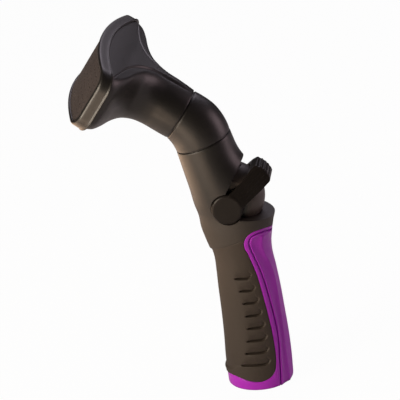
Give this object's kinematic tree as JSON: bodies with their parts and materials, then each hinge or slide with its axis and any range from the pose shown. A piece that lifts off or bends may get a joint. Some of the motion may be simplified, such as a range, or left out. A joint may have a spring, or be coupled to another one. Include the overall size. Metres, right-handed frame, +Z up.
{
  "type": "handheld bath sprayer",
  "caption": "Handheld water sprayer with a wide fan-shaped spray head on a bent neck, a thumb lever valve, a ribbed soft grip, a contrasting back shell and a threaded hose inlet in its foot",
  "frame": {"origin": "centre of the hose inlet's mouth, in the plane of the handle's foot", "axes": "+Z up the lower handle and out of the top of the inlet, -X the way the head sprays and +X the thumb lever side, +Y and -Y the two sides of the handle"},
  "size_m": [0.1178, 0.12, 0.2445],
  "materials": {
    "back_shell": "glossy purple",
    "soft_grip": "matte soft-touch, very dark grey-brown",
    "housing": "satin, near black",
    "valve_housing": "satin, near black",
    "inner_seals": "black rubber",
    "valve_plug": "natural acetal",
    "plug_bushes": "natural acetal",
    "thumb_lever": "satin, near black",
    "head_plastic": "satin, near black",
    "spray_face": "matte, near black",
    "water_tube": "grey plastic",
    "hose_inlet": "matte black",
    "filter_screen": "fine steel mesh"
  },
  "bodies": {
    "sprayer": {"back_shell": "back_shell", "soft_grip": "soft_grip", "body_shell_left": "housing", "body_shell_right": "housing", "valve_body": "valve_housing", "seat_seals": "inner_seals", "plug_bushes": "plug_bushes", "neck_elbow": "head_plastic", "neck_o_ring": "inner_seals", "head_o_ring": "inner_seals", "fan_head": "head_plastic", "face_rim": "head_plastic", "spray_face": "spray_face", "face_seal": "inner_seals", "water_tube": "water_tube", "tube_o_rings": "inner_seals", "hose_inlet": "hose_inlet", "hose_washer": "inner_seals", "filter_screen": "filter_screen"},
    "lever": {"thumb_lever": "thumb_lever", "valve_plug": "valve_plug", "plug_o_rings": "inner_seals"}
  },
  "joints": [
    {"name": "lever_hinge", "type": "hinge", "parent": "sprayer", "child": "lever", "pos_m": [-0.0053, 0, 0.1286], "axis": [0, 1, 0], "range_deg": [-10, 40]}
  ]
}
